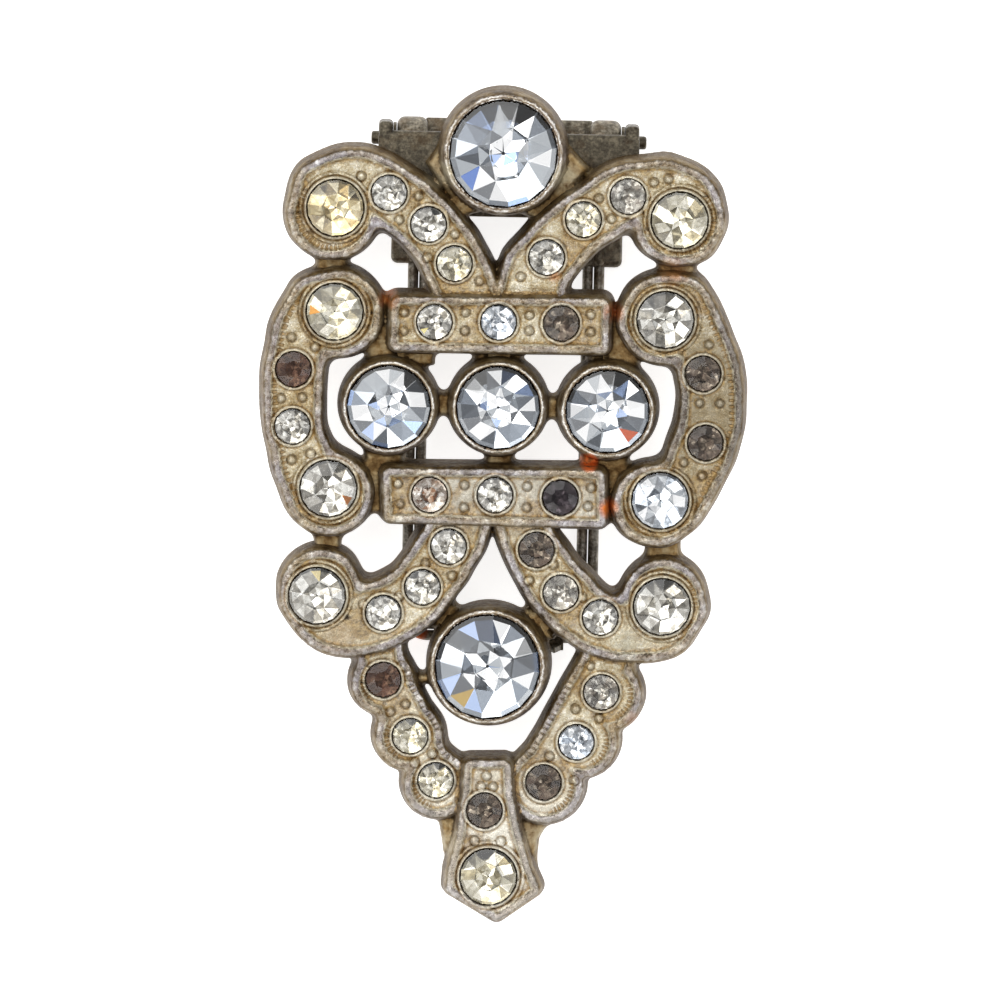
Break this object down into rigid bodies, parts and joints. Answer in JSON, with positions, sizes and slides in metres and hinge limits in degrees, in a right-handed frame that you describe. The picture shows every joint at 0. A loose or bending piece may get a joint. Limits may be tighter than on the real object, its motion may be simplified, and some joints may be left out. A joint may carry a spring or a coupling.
{
  "type": "dress clip",
  "caption": "Openwork cast dress clip: scrolls, bars, V arms and a pointed tip set with round foil-backed stones, over a sprung toothed wire clip hinged behind its top.",
  "frame": {"origin": "middle of the bounding box in X and Y, at the lowest face of the closed wire clip", "axes": "+Y to the clip's top, +Z out of its front, +X to its right as seen from the front"},
  "size_m": [0.0368, 0.0631, 0.0095],
  "materials": {
    "cast_metal": "tarnished pot metal, silvery on worn rims and brown in the recesses",
    "clear_stone": "clear cut glass over bright foil",
    "yellowed_stone": "clear cut glass over foil turned yellow",
    "dark_stone": "clear cut glass over foil turned dark",
    "clip_metal": "dark worn nickel plate"
  },
  "bodies": {
    "front": {"casting": "cast_metal", "stone_top": "clear_stone", "stone_bottom": "clear_stone", "stone_middle_left": "clear_stone", "stone_middle": "clear_stone", "stone_middle_right": "clear_stone", "stone_upper_scroll_left": "yellowed_stone", "stone_upper_scroll_right": "yellowed_stone", "stone_arm_upper_left": "yellowed_stone", "stone_arm_upper_right": "clear_stone", "stone_arm_lower_left": "clear_stone", "stone_arm_lower_right": "clear_stone", "stone_lower_scroll_left": "clear_stone", "stone_lower_scroll_right": "clear_stone", "stone_tip": "yellowed_stone", "stone_upper_left_1": "clear_stone", "stone_upper_left_2": "clear_stone", "stone_upper_left_3": "yellowed_stone", "stone_upper_right_1": "dark_stone", "stone_upper_right_2": "yellowed_stone", "stone_upper_right_3": "clear_stone", "stone_top_bar_1": "clear_stone", "stone_top_bar_2": "clear_stone", "stone_top_bar_3": "dark_stone", "stone_bottom_bar_1": "dark_stone", "stone_bottom_bar_2": "clear_stone", "stone_bottom_bar_3": "dark_stone", "stone_side_left_1": "dark_stone", "stone_side_left_2": "clear_stone", "stone_side_right_1": "dark_stone", "stone_side_right_2": "dark_stone", "stone_lower_left_1": "clear_stone", "stone_lower_left_2": "clear_stone", "stone_lower_left_3": "clear_stone", "stone_lower_right_1": "dark_stone", "stone_lower_right_2": "dark_stone", "stone_lower_right_3": "clear_stone", "stone_v_left_1": "dark_stone", "stone_v_left_2": "yellowed_stone", "stone_v_left_3": "yellowed_stone", "stone_v_right_1": "dark_stone", "stone_v_right_2": "clear_stone", "stone_v_right_3": "dark_stone", "stone_tip_small": "dark_stone", "hinge_bracket": "clip_metal", "hinge_pin": "clip_metal", "hinge_spring": "clip_metal"},
    "clip": {"clip_plate": "clip_metal", "outer_wire": "clip_metal", "inner_wire": "clip_metal", "tooth_bar": "clip_metal"}
  },
  "joints": [
    {"name": "clip_hinge", "type": "hinge", "parent": "front", "child": "clip", "pos_m": [0, 0.0272, 0.00175], "axis": [1, 0, 0], "range_deg": [0, 85], "stiffness_Nm_per_rad": 0.004, "springref_deg": -28.65}
  ]
}
